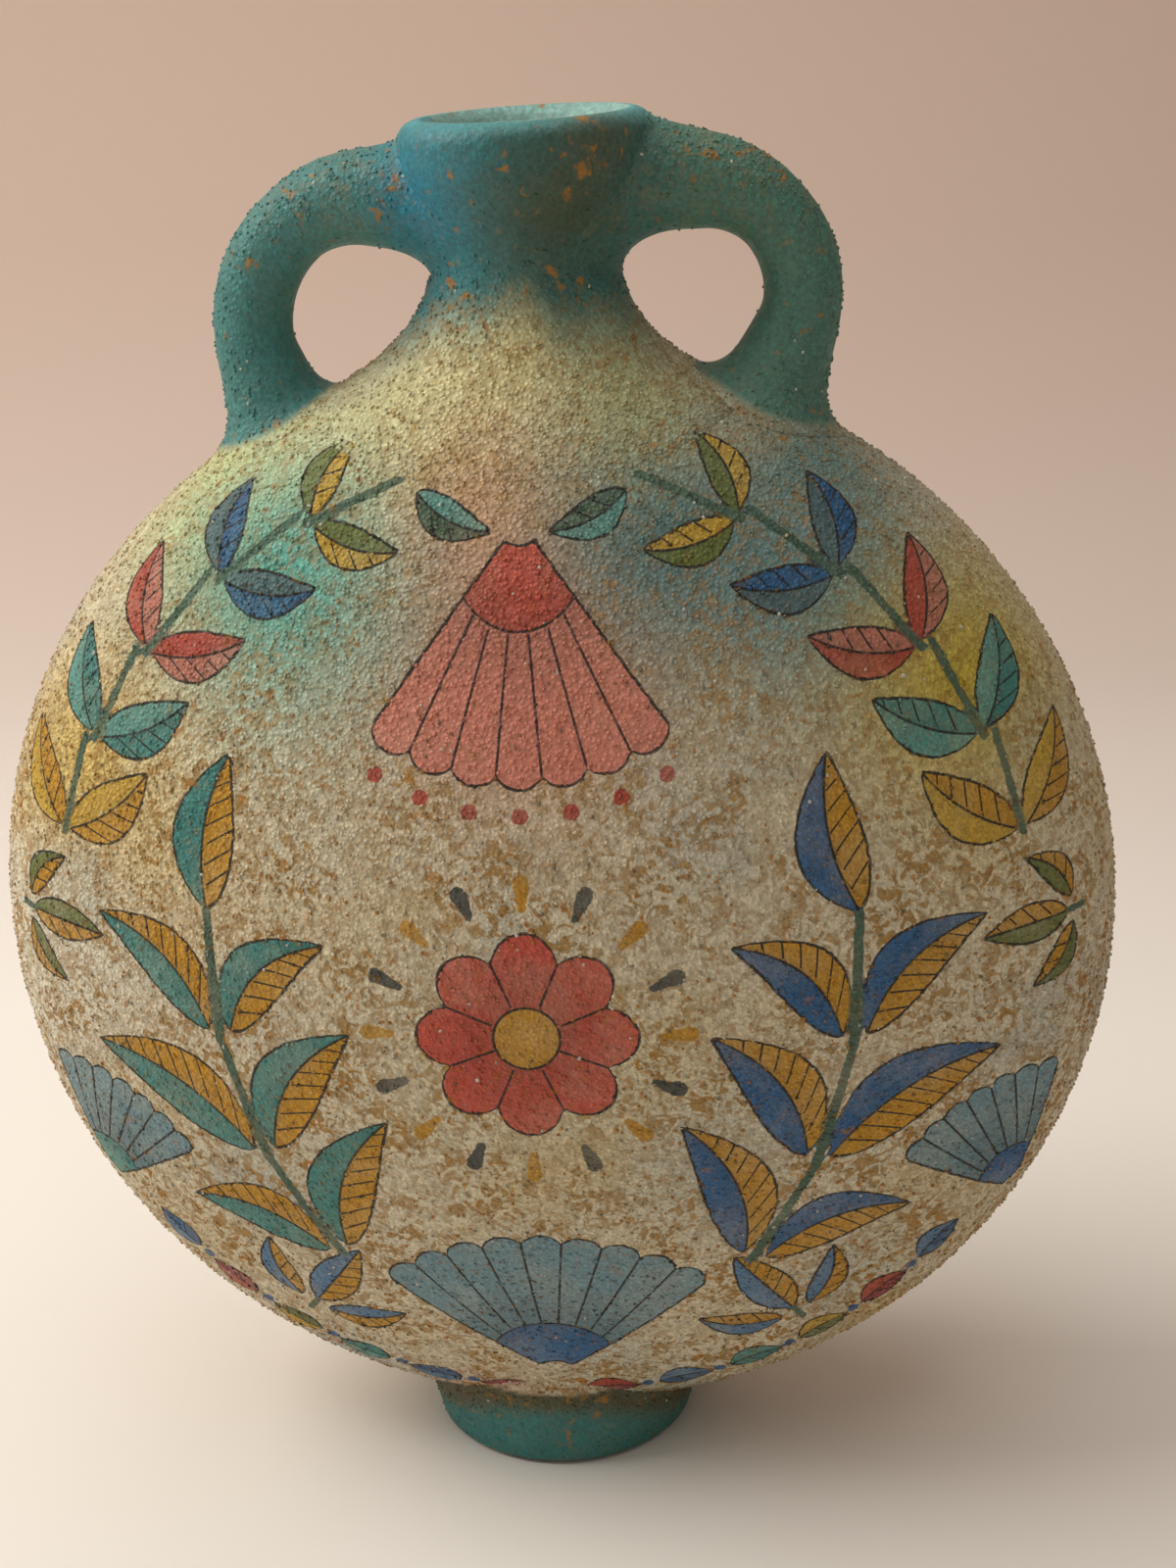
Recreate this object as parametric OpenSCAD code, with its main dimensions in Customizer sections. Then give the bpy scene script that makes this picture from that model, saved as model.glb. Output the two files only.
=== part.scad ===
// Flattened round ceramic flask with a flaring neck, two loop handles and a low foot.
// The body is two bowls luted rim to rim; neck, handles and foot are luted on.
// Millimetres. The origin is the middle of the foot on the table, +Z up, -Y the painted front.

/* [Body] */
// Radius of the round face
body_r = 120; // [100:1:140]
// Thickness of the belly from front to back
body_depth = 122; // [100:1:140]
// Radius of the rounded edge where the two bowls meet
edge_r = 36; // [30:1:42]
// Thickness of the thrown wall
wall = 6; // [4:0.5:8]
// Height of the body's lowest point above the table
body_lift = 5.5; // [3:0.5:10]

/* [Neck] */
// Radius at which the neck's skirt runs out on the body's edge
skirt_r = 47; // [40:1:54]
// Slope of the skirt, in degrees from level
skirt_slope = 34; // [30:1:38]
// Radius of the hollow sweep from the skirt up into the neck
skirt_sweep_r = 10; // [6:1:16]
// Outer radius of the neck at its waist
neck_r = 18.6; // [17:0.2:22]
// Height from the waist to the rim
neck_h = 30.5; // [28:0.5:40]
// Outer radius of the lip
lip_r = 25.6; // [25:0.2:28]
// Radius of the trumpet flare below the lip
flare_r = 34; // [28:1:44]
// Rounding of the lip's outer edge
lip_round = 4; // [2:0.5:4.5]
// Radius of the throat
throat_r = 13.5; // [11:0.5:14.5]
// Radius of the mouth at the rim
mouth_r = 20; // [17:0.5:20.5]
// Radius of the inner flare from the throat to the mouth
mouth_flare_r = 30; // [20:1:36]
// Radius of the sweep where the neck runs out on the two faces
root_sweep_r = 45; // [30:1:60]
// Lean of the neck's skirt from upright, below that sweep
root_lean = 26; // [20:1:30]

/* [Handles] */
// Diameter of the rod at its bend
handle_d = 16; // [12:0.5:18]
// Radius of the bend, on the rod's centre line
bend_r = 19; // [16:0.5:22]
// Clear width between the neck's waist and the rod
finger_gap = 28.5; // [26:0.5:34]
// Height of the rod's centre line above the neck's waist, at the top of the bend
handle_rise = 14; // [12:0.5:16]
// Radius of the arm's thick end, inside the neck
arm_end_r = 13; // [10:0.5:14]
// Radius of the leg's thick end, inside the shoulder
leg_end_r = 14; // [10:0.5:16]

/* [Foot] */
// Radius of the foot at its fullest
foot_r = 30.4; // [26:0.2:36]
// Height of the fullest point above the table
foot_full_z = 14; // [10:0.5:16]
// Radius of the foot's bowed side, seen from the front
foot_bow_r = 28; // [24:1:60]
// Thickness of the ring at its fullest
foot_wall = 10; // [7:0.5:14]
// Bevel of the edges that stand on the table
foot_bevel = 1.2; // [0.5:0.1:2]

/* [Hidden] */
$fn = 128;

// Height of the belly's widest level
belly_z = body_lift + body_r;
// Radius of each bowl's domed face, tangent to the rounded edge
face_r = (pow(body_r, 2) + pow(body_depth / 2, 2) - 2 * body_r * edge_r) / (body_depth - 2 * edge_r);
// Angle from a bowl's axis at which the dome turns into the edge
edge_angle = atan((body_r - edge_r) / (face_r - body_depth / 2));
// Height on the body's edge where the skirt starts, and how far its line is drawn on inside the body
skirt_z = edge_z(skirt_r);
skirt_bury = wall;
// Flattening of the skirt, so that it runs out on the two faces at the same height
flattening = sqrt(pow(edge_r, 2) - pow(skirt_z - belly_z - body_r + edge_r, 2)) / skirt_r;
// How far the skirt's sweep bites into the round neck, so that the two meet at a clean angle
sweep_bite = 0.6;
// Centre of that sweep; its height is the neck's waist
sweep_x = neck_r - sweep_bite + skirt_sweep_r;
waist_z = skirt_line(sweep_x) + skirt_sweep_r / cos(skirt_slope);
rim_z = waist_z + neck_h;
// Level where the sweep on the faces begins, and the point where it turns straight
root_top_z = waist_z - skirt_sweep_r / 3;
root_turn = [
    neck_r + root_sweep_r * (1 - cos(root_lean)),
    root_top_z - root_sweep_r * sin(root_lean)
];
// Centre of the handle's bend
bend_x = neck_r + finger_gap + handle_d / 2 - bend_r;
bend_z = waist_z + handle_rise - bend_r;
// Directions of the bend's radius at which it runs out into the arm and into the leg
arm_turn = 82;
leg_turn = -10;
// Step where the clay of the arm and the leg is pressed round the bend
end_step = 0.1;
// Lengths of the arm and the leg; each runs on this far inside what it is pressed on to
end_sink = 8;
arm_len = bend_x + bend_r * cos(arm_turn) - neck_r + end_sink;
leg_len = bend_z - edge_z(bend_x + bend_r) + end_sink;
// Level where the foot's side is certain to be inside the body
foot_top_z = belly_z - body_r * sqrt(1 - pow(foot_r / (body_depth / 2), 2)) + wall;
// Radius of the foot on the table
foot_base_r = foot_r - foot_bow_r + sqrt(pow(foot_bow_r, 2) - pow(foot_full_z, 2));

// Height of the body's upper edge at a distance x from its middle
function edge_z(x) = belly_z + sqrt(pow(body_r, 2) - pow(x, 2));

// Height of the skirt's straight line at a given radius
function skirt_line(x) = skirt_z + (skirt_r - x) * tan(skirt_slope);

// Height of a hollow arc of radius r that stands upright at its foot and leans out by d
function flare_h(r, d) = sqrt(pow(r, 2) - pow(r - d, 2));

// Half section of one bowl, filled, with its axis upright; inset moves the whole outline in
module bowl_outline(inset) {
    edge_start = (face_r - inset) * sin(edge_angle);
    intersection() {
        translate([0, body_depth / 2 - face_r])
            circle(face_r - inset);
        square([edge_start, body_depth]);
    }
    intersection() {
        translate([body_r - edge_r, 0])
            circle(edge_r - inset);
        translate([edge_start, 0])
            square(edge_r);
    }
}

// The whole outside of the body, filled: what neck, handles and foot are cut to
module body_solid() {
    translate([0, 0, belly_z])
        rotate([90, 0, 0])
            rotate_extrude() {
                bowl_outline(0);
                mirror([0, 1])
                    bowl_outline(0);
            }
}

// One thrown bowl with its half of the throat's hole: side is 1 for the front and -1 for the back
module bowl(side) {
    difference() {
        translate([0, 0, belly_z])
            rotate([side * 90, 0, 0])
                rotate_extrude()
                    difference() {
                        bowl_outline(0);
                        bowl_outline(wall);
                    }
        translate([0, 0, belly_z])
            cylinder(h = rim_z, r = throat_r);
    }
}

// Area left of a hollow arc that starts upright at radius r, level z, and leans out to r + d
module flare(r, z, d, arc_r) {
    difference() {
        translate([0, z])
            square([r + d, flare_h(arc_r, d)]);
        translate([r + arc_r, z])
            circle(arc_r);
    }
}

// Half outline of the oval skirt that carries the neck out on to the shoulders
module skirt_outline() {
    low_r = skirt_r + skirt_bury;
    sweep_start = [sweep_x, waist_z] - skirt_sweep_r * [sin(skirt_slope), cos(skirt_slope)];
    difference() {
        polygon([
            [0, skirt_line(low_r)], [low_r, skirt_line(low_r)], sweep_start,
            [sweep_x, waist_z], [0, waist_z]
        ]);
        translate([sweep_x, waist_z])
            circle(skirt_sweep_r);
    }
}

// Half outline of the round neck, from the sweep on the faces to the rounded lip
module neck_outline() {
    low_z = skirt_z - skirt_bury;
    low_r = root_turn[0] + (root_turn[1] - low_z) * tan(root_lean);
    lip_low_z = waist_z + flare_h(flare_r, lip_r - neck_r);
    difference() {
        polygon([
            [0, low_z], [low_r, low_z], root_turn,
            [neck_r + root_sweep_r, root_top_z], [0, root_top_z]
        ]);
        translate([neck_r + root_sweep_r, root_top_z])
            circle(root_sweep_r);
    }
    translate([0, root_top_z])
        square([neck_r, waist_z - root_top_z]);
    flare(neck_r, waist_z, lip_r - neck_r, flare_r);
    translate([0, lip_low_z])
        square([lip_r, rim_z - lip_round - lip_low_z]);
    translate([0, rim_z - lip_round]) {
        square([lip_r - lip_round, lip_round]);
        translate([lip_r - lip_round, 0])
            intersection() {
                circle(lip_round);
                square(lip_round);
            }
    }
}

// Half outline of the throat and the mouth that flares out of it
module mouth_outline() {
    flare_z = rim_z - flare_h(mouth_flare_r, mouth_r - throat_r);
    square([throat_r, rim_z]);
    flare(throat_r, flare_z, mouth_r - throat_r, mouth_flare_r);
}

// The neck with its skirt, filled
module neck_solid() {
    rotate_extrude()
        neck_outline();
    scale([1, flattening, 1])
        rotate_extrude()
            skirt_outline();
}

// A handle's thickening end, straight on from the bend; way is 1 for the arm, -1 for the leg
module thick_end(turn, way, len, end_r) {
    rotate([0, -turn, 0])
        translate([bend_r, 0, 0])
            rotate([way > 0 ? 0 : 180, 0, 0])
                cylinder(h = len, r1 = handle_d / 2 + end_step, r2 = end_r);
}

// The right handle: a rod that thickens from its bend to both ends, cut to the neck, its lip and the shoulder
module handle() {
    difference() {
        translate([bend_x, 0, bend_z]) {
            rotate([90, 0, 0])
                rotate([0, 0, leg_turn])
                    rotate_extrude(angle = arm_turn - leg_turn)
                        translate([bend_r, 0])
                            circle(handle_d / 2);
            thick_end(arm_turn, 1, arm_len, arm_end_r);
            thick_end(leg_turn, -1, leg_len, leg_end_r);
        }
        body_solid();
        neck_solid();
        translate([0, 0, rim_z])
            cylinder(h = arm_end_r, r = lip_r);
    }
}

module body_front() {
    color("wheat")
        bowl(1);
}

module body_back() {
    color("wheat")
        bowl(-1);
}

module neck() {
    color("cadetblue")
        difference() {
            neck_solid();
            body_solid();
            rotate_extrude()
                mouth_outline();
        }
}

module handle_left() {
    color("cadetblue")
        mirror([1, 0, 0])
            handle();
}

module handle_right() {
    color("cadetblue")
        handle();
}

module foot_ring() {
    inner_r = foot_r - foot_wall;
    color("teal")
        difference() {
            rotate_extrude()
                intersection() {
                    polygon([
                        [inner_r, foot_top_z], [inner_r, foot_bevel], [inner_r + foot_bevel, 0],
                        [foot_base_r - foot_bevel, 0], [foot_base_r - foot_bevel + foot_top_z, foot_top_z]
                    ]);
                    translate([foot_r - foot_bow_r, foot_full_z])
                        circle(foot_bow_r);
                }
            body_solid();
        }
}

body_front();
body_back();
neck();
handle_left();
handle_right();
foot_ring();
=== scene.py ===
import math
from functools import partial

import bmesh
import bpy
import numpy as np
from mathutils import Matrix, Vector


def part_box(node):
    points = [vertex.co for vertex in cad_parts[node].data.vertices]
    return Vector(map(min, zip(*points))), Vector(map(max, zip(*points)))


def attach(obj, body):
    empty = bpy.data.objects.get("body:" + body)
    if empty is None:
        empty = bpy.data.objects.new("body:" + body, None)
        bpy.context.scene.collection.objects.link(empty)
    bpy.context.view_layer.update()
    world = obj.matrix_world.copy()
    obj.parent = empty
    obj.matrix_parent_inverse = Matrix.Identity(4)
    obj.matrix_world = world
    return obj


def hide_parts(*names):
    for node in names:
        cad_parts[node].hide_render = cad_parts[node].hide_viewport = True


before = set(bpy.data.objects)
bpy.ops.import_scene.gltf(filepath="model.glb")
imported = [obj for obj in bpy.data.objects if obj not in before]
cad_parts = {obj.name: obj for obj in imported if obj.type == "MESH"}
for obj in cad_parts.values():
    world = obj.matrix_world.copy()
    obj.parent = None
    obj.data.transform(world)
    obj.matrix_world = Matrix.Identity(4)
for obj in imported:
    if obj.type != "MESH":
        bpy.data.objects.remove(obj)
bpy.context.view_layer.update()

# The body: two thrown earthenware bowls, luted rim to rim into a flattened round flask.
# Each face is a shallow dome that turns over a rounded edge; the wall is about 6 mm thick,
# and the throat is cut out of the top of both bowls. Work is in millimetres, stored in metres.
MM = 0.001
body_low, body_high = (np.array(corner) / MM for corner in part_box("body_front"))
body_r = (body_high[0] - body_low[0]) / 2
belly_z = (body_high[2] + body_low[2]) / 2
half_depth = body_high[1] - body_low[1]
edge_r = 36
wall = 6
throat_r = 13.5
# The slip's surface lies this far inside the solid, so that the sand on it stays within the object's size
grit_room = 0.6
# Keeps a division by a length from being one by nothing
TINY = 1e-6

face_r = (body_r ** 2 + half_depth ** 2 - 2 * body_r * edge_r) / (2 * (half_depth - edge_r))
edge_angle = math.atan2(body_r - edge_r, face_r - half_depth)
face_len = face_r * edge_angle
rim_len = face_len + edge_r * (math.pi / 2 - edge_angle)


def body_gap(p):
    """Distance from points to the body's outer surface, negative inside."""
    out = np.hypot(p[..., 0], p[..., 2] - belly_z)
    deep = np.abs(p[..., 1])
    axial = deep + face_r - half_depth
    on_face = np.arctan2(out, axial) < edge_angle
    to_dome = np.hypot(out, axial) - face_r
    to_edge = np.hypot(out - body_r + edge_r, deep) - edge_r
    return np.where(on_face, to_dome, to_edge) + grit_room


def face_place(p):
    """Where points lie on a face rolled out flat: right and up from its middle."""
    side, up = p[..., 0], p[..., 2] - belly_z
    out = np.hypot(side, up)
    deep = np.abs(p[..., 1])
    dome = np.arctan2(out, deep + face_r - half_depth)
    turn = np.arctan2(out - body_r + edge_r, deep)
    length = np.where(dome < edge_angle, face_r * dome, face_len + edge_r * (turn - edge_angle))
    scale = length / np.maximum(out, TINY)
    return side * scale, up * scale


def bowl_wall(u, v, inset):
    """Points on the front bowl at flat places u, v, moved inwards by inset."""
    length = np.hypot(u, v)
    dome = np.minimum(length, face_len) / face_r
    turn = edge_angle + np.maximum(length - face_len, 0) / edge_r
    on_face = length < face_len
    dome_r, round_r = face_r - inset, edge_r - inset
    out = np.where(on_face, dome_r * np.sin(dome), body_r - edge_r + round_r * np.sin(turn))
    deep = np.where(on_face, dome_r * np.cos(dome) - face_r + half_depth, round_r * np.cos(turn))
    scale = out / np.maximum(length, TINY)
    return np.stack([u * scale, -deep, belly_z + v * scale], -1)


def round_grid(n):
    """A square grid of n by n cells, pressed into a disc of radius 1 without a pole."""
    a, b = np.meshgrid(np.linspace(-1, 1, n + 1), np.linspace(-1, 1, n + 1), indexing="ij")
    wide = np.abs(a) > np.abs(b)
    r = np.where(wide, a, b)
    share = np.where(wide, b, a) / np.where(r == 0, 1, r)
    angle = np.where(wide, math.pi / 4 * share, math.pi / 2 - math.pi / 4 * share)
    return r * np.cos(angle), r * np.sin(angle)


def grid_quads(n, start):
    """Corner numbers of the cells of an n by n grid whose points are numbered from start."""
    i, j = np.meshgrid(np.arange(n), np.arange(n), indexing="ij")
    a = start + i * (n + 1) + j
    return np.stack([a, a + n + 1, a + n + 2, a + 1], -1).reshape(-1, 4)


def grid_border(n, start):
    """Numbers of the grid's border points, once round."""
    k = np.arange(n)
    low, high = np.zeros(n, int), np.full(n, n)
    i = np.concatenate([k, high, n - k, low])
    j = np.concatenate([low, k, high, n - k])
    return start + i * (n + 1) + j


def raw_mesh(name, points, faces):
    """A mesh from points in millimetres."""
    mesh = bpy.data.meshes.new(name)
    mesh.from_pydata((points * MM).tolist(), [], faces)
    return mesh


def turn_outwards(mesh):
    """The mesh with its faces turned outwards and smooth."""
    shell = bmesh.new()
    shell.from_mesh(mesh)
    bmesh.ops.recalc_face_normals(shell, faces=shell.faces)
    shell.to_mesh(mesh)
    shell.free()
    mesh.shade_smooth()
    return mesh


def make_piece(name, mesh):
    piece = bpy.data.objects.new(name, mesh)
    bpy.context.scene.collection.objects.link(piece)
    return piece


def stand_in(name, mesh, node):
    """A piece of the flask, shown in place of a node."""
    piece = make_piece(name, mesh)
    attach(piece, "root")
    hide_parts(node)
    return piece


def plain_mesh(piece, name):
    """The piece's mesh with its modifiers worked in."""
    graph = bpy.context.evaluated_depsgraph_get()
    graph.update()
    mesh = bpy.data.meshes.new_from_object(piece.evaluated_get(graph), depsgraph=graph)
    mesh.name = name
    return mesh


def points_of(mesh):
    """The mesh's points in millimetres."""
    flat = np.empty(len(mesh.vertices) * 3)
    mesh.vertices.foreach_get("co", flat)
    return flat.reshape(-1, 3) / MM


def bowl_mesh(name, side):
    """One bowl: a fine outer face, a coarser inner wall, the flat rim between, and the throat's half hole."""
    # Cells across the two walls, and sides of the throat's hole
    fine, coarse = 284, 56
    throat_sides = 96
    outer = bowl_wall(*(rim_len * c for c in round_grid(fine)), grit_room)
    inner = bowl_wall(*(rim_len * c for c in round_grid(coarse)), wall)
    points = np.concatenate([outer.reshape(-1, 3), inner.reshape(-1, 3)])
    inner_start = (fine + 1) ** 2
    faces = grid_quads(fine, 0).tolist() + grid_quads(coarse, inner_start).tolist()
    outer_rim = grid_border(fine, 0)
    inner_rim = grid_border(coarse, inner_start)
    step = len(outer_rim) / len(inner_rim)
    marks = [round(k * step) for k in range(len(inner_rim) + 1)]
    for k, corner in enumerate(inner_rim):
        following = inner_rim[(k + 1) % len(inner_rim)]
        strip = [outer_rim[m % len(outer_rim)] for m in range(marks[k], marks[k + 1] + 1)]
        faces.append([int(c) for c in [corner, *strip, following]])
    points[:, 1] *= side
    bowl = make_piece(name, turn_outwards(raw_mesh(name, points, faces)))
    top = (0, 0, (belly_z + body_r) * MM)
    bpy.ops.mesh.primitive_cylinder_add(
        vertices=throat_sides, radius=throat_r * MM, depth=body_r * MM, location=top
    )
    drill = bpy.context.object
    cut = bowl.modifiers.new("throat", "BOOLEAN")
    cut.operation = "DIFFERENCE"
    cut.solver = "MANIFOLD"
    cut.object = drill
    mesh = plain_mesh(bowl, name)
    bpy.data.objects.remove(drill)
    bpy.data.objects.remove(bowl)
    mesh.shade_smooth()
    return mesh


# The painting: slip colours sprayed in soft clouds, and a leaf and blossom design laid on with a brush.
# Each brush form gives, at flat places on a face, the distance to its outline, to the line that parts its
# two colours, and which rib is drawn there; the slip's material draws crisp edges and ink from these.

# Ribs are drawn at whole numbers, so this number has none
NO_RIB = 0.5


def linear(code):
    """Linear colour of an sRGB hex value."""
    c = np.array([int(code[i:i + 2], 16) for i in (1, 3, 5)]) / 255
    return np.where(c <= 0.04045, c / 12.92, ((c + 0.055) / 1.055) ** 2.4)


def fade(low, high, value):
    """Smooth step from 0 at low to 1 at high."""
    t = np.clip((value - low) / (high - low), 0, 1)
    return t * t * (3 - 2 * t)


def along_across(u, v, at, turn):
    """Places along and across a heading, from a form's own place."""
    c, s = math.cos(math.radians(turn)), math.sin(math.radians(turn))
    return (u - at[0]) * c + (v - at[1]) * s, (v - at[1]) * c - (u - at[0]) * s


def leaf(u, v, at, turn, length, width, bow):
    """A pointed leaf whose midrib bows to one side, with veins on one half."""
    along, across = along_across(u, v, at, turn)
    t = np.clip(along / length, 0, 1)
    across = across - 4 * bow * t * (1 - t)
    half = width / 2 * np.sin(math.pi * t ** 0.8) ** 0.85
    past = np.maximum(np.maximum(-along, along - length), 0)
    edge = np.where(past > 0, np.hypot(past, across), np.abs(across) - half)
    vein_pitch, vein_slant = 4.2, 5
    vein = along / vein_pitch - np.abs(across) / vein_slant
    return edge, across, np.where(across < 0, vein, NO_RIB), np.full_like(u, vein_pitch)


def fan(u, v, at, turn, reach, spread, ribs):
    """A ribbed palmette with a scalloped edge and a darker heart."""
    along, across = along_across(u, v, at, turn)
    r = np.hypot(along, across)
    half = math.radians(spread)
    rib = (np.arctan2(across, along) / half + 1) / 2 * ribs
    scallop = reach * (0.94 + 0.06 * np.sqrt(np.abs(np.sin(math.pi * np.clip(rib, 0, ribs)))))
    side = (np.abs(rib - ribs / 2) - ribs / 2) * 2 * half / ribs * r
    edge = np.maximum(np.maximum(r - scallop, side), reach * 0.1 - r)
    heart = r - reach * (0.36 + 0.06 * np.cos(math.pi * (rib - ribs / 2) / ribs))
    return edge, heart, np.where(heart > 0, rib, NO_RIB), 2 * half / ribs * r


def rosette(u, v, at, turn, reach, petals):
    """An open blossom of round petals about a darker eye."""
    along, across = along_across(u, v, at, turn)
    r = np.hypot(along, across)
    petal = np.arctan2(across, along) / (2 * math.pi) * petals
    edge = r - reach * (0.74 + 0.26 * np.abs(np.cos(math.pi * petal)) ** 0.7)
    eye = r - reach * 0.3
    return edge, eye, np.where(eye > 0, petal + 0.5, NO_RIB), 2 * math.pi / petals * np.maximum(r, 1)


def stroke(u, v, at, turn, length, start, end):
    """One stroke of a loaded brush, of half width start at its foot and end at its tip."""
    along, across = along_across(u, v, at, turn)
    t = np.clip(along / length, 0, 1)
    edge = np.hypot(along - t * length, across) - (start + (end - start) * t)
    return edge, np.ones_like(u), np.full_like(u, NO_RIB), np.ones_like(u)


PAINT = {
    "teal": "#41908a", "blue": "#2b6698", "ochre": "#d39a1d", "coral": "#c4503e", "rose": "#cf806c",
    "mist": "#6f8f98", "olive": "#727d38", "green": "#4d6d58", "yellow": "#d8ae38", "slate": "#5a767a",
    "sea": "#66a79c", "wine": "#a9353f", "sky": "#5f88ad", "smoke": "#4f524c",
}


def brush(form, at, turn, sizes, first, second=None):
    """One form of the design, with its place, heading, sizes and colours."""
    return form, np.array(at, float), turn, sizes, linear(PAINT[first]), linear(PAINT[second or first])


def polar(angle, r):
    """A step of length r in a direction."""
    return r * np.array([math.cos(math.radians(angle)), math.sin(math.radians(angle))])


def leaf_spray(foot, heading, curl, spacing, sizes, first):
    """Leaves in pairs up a stem that curls as it climbs, and one at its tip; sizes are lengths and widths."""
    spot, turn = np.array(foot, float), heading
    pairs = (len(sizes) - 1) // 2
    leaf_swing, leaf_stalk = 48, 3.5
    forms = []
    for k, (length, width) in enumerate(sizes):
        side = 0 if k == 2 * pairs else 1 - 2 * (k % 2)
        way = turn + side * leaf_swing
        start = spot + polar(way, leaf_stalk * abs(side))
        forms.append(brush(leaf, start, way, (length, width, -5 * side or 3), first, "ochre"))
        if side == 1:
            forms.append(brush(stroke, spot, turn, (spacing, 1.2, 1.0), "green"))
        if side == -1:
            spot, turn = spot + polar(turn, spacing), turn + curl
    return forms


def tuft(at, turn, strokes, spread, length, first):
    """A tuft of fine tapering strokes from one foot."""
    forms = []
    for k in range(strokes):
        swing = (k - (strokes - 1) / 2) * spread
        reach = length * (0.72 + 0.28 * math.cos(math.radians(2.2 * swing)))
        way = turn + swing
        forms.append(brush(stroke, at + polar(way, length * 0.28), way, (reach * 0.7, 1.9, 0.55), first))
    return forms


def sprig(at, turn, length, first):
    """Three leaves from one foot."""
    forms = [brush(stroke, at, turn, (length * 0.3, 0.9, 0.7), "green")]
    for swing, share in ((46, 0.78), (-46, 0.78), (0, 1)):
        way = turn + swing
        size = (length * share, length * share * 0.42, swing / 20)
        forms.append(brush(leaf, at + polar(way, length * 0.2), way, size, first, "ochre"))
    return forms


def dot(at, r, first):
    return brush(stroke, at, 0, (0.1, r, r), first)


rosette_at, crown_at = (0, -4), (0, 98)
front_design = [
    brush(rosette, rosette_at, 90, (22, 8), "coral", "ochre"),
    brush(fan, (0, -103), 90, (50, 46, 9), "mist", "blue"),
    brush(fan, crown_at, -90, (52, 36, 7), "rose", "coral"),
    brush(fan, (-107, -62), 68, (37, 34, 7), "mist", "teal"),
    brush(fan, (107, -62), 112, (37, 34, 7), "mist", "blue"),
]
left_leaves = ((33, 14), (38, 15), (42, 17), (36, 15), (34, 14), (31, 13), (33, 14))
right_leaves = ((38, 15), (33, 14), (36, 15), (42, 17), (31, 13), (34, 14), (33, 14))
front_design += leaf_spray((-44, -64), 118, -13, 29, left_leaves, "teal")
front_design += leaf_spray((44, -64), 62, 13, 29, right_leaves, "blue")
for k in range(7):
    front_design.append(dot(crown_at + polar(10 * k - 120, 57), 1.6, "coral"))
rays = 16
for k in range(rays):
    angle = 360 / rays * k
    spot = rosette_at + polar(angle, 27)
    front_design.append(brush(stroke, spot, angle, (5, 0.8, 1.7), ("ochre", "smoke")[k % 2]))
# A garland climbs both shoulders and meets under the neck; leaves and dots follow the lower rim
garland_r, garland_start, garland_step = 107, 74, 23
garland_swing = 40
garland_colours = (
    ("yellow", "ochre"), ("sea", "teal"), ("coral", "rose"), ("slate", "blue"), ("olive", "yellow"),
    ("sea", "green"),
)
border_r, border_start, border_step = 112, 3, 9
border_colours = (("coral", "wine"), ("sky", "blue"), ("sea", "teal"), ("yellow", "olive"))
for side in (1, -1):
    for k, (first, second) in enumerate(garland_colours):
        angle = 90 + side * (garland_start - math.degrees(garland_step / garland_r) * k)
        spot, onward = polar(angle, garland_r), angle - 90 * side
        length = 26 - 1.7 * k
        last = k == len(garland_colours) - 1
        if not last:
            front_design.append(brush(stroke, spot, onward, (garland_step, 0.9, 0.9), "green"))
        for swing in (-garland_swing * side,) if last else (garland_swing, -garland_swing):
            way = onward + swing
            size = (length, length * 0.46, swing / 20)
            front_design.append(brush(leaf, spot + polar(way, 2), way, size, first, second))
    for k in range(6):
        angle = 270 + side * (border_start + border_step * k)
        spot, onward = polar(angle, border_r), angle + 90 * side
        front_design.append(brush(leaf, spot, onward, (13, 8, 1), *border_colours[k % 4]))
        front_design.append(dot(polar(angle - 1.4 * side, border_r), 1.5, "blue"))
    for from_foot, r, length, first in ((95, 119, 21, "olive"), (33, 104, 25, "sky")):
        angle = 270 + side * from_foot
        front_design += sprig(polar(angle, r), angle + 180, length, first)

back_design = [brush(rosette, (0, 0), 90, (26, 10), "coral", "ochre")]
back_leaves, back_tufts = 8, 20
for k in range(back_leaves):
    angle, first = 360 / back_leaves * k, ("teal", "blue")[k % 2]
    back_design.append(brush(leaf, polar(angle, 36), angle, (46, 18, 4), first, "ochre"))
    angle += 180 / back_leaves
    back_design += tuft(polar(angle, 44), angle, 3, 16, 26, "slate")
for k in range(back_tufts):
    angle, first = 360 / back_tufts * k, ("olive", "sky", "green", "yellow")[k % 4]
    back_design += tuft(polar(angle, 126), angle + 180, 5, 19, 20, first)


def brushwork(u, v, forms):
    """The design's fields at flat places u, v: each place belongs to the nearest brush form."""
    n = len(u)
    far = 9.0
    got = {"edge": np.full(n, far), "split": np.ones(n), "rib": np.full(n, NO_RIB), "pitch": np.ones(n)}
    got.update(inked=np.zeros(n), first=np.zeros((n, 3)), second=np.zeros((n, 3)))
    for form, at, turn, sizes, first, second in forms:
        near = np.flatnonzero(np.hypot(u - at[0], v - at[1]) < 1.3 * max(sizes) + 4)
        fields = form(u[near], v[near], at, turn, *sizes)
        nearer = fields[0] < got["edge"][near]
        spots = near[nearer]
        for key, field in zip(("edge", "split", "rib", "pitch"), fields):
            got[key][spots] = field[nearer]
        got["inked"][spots] = form is not stroke
        got["first"][spots] = first
        got["second"][spots] = second
    return got


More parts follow.
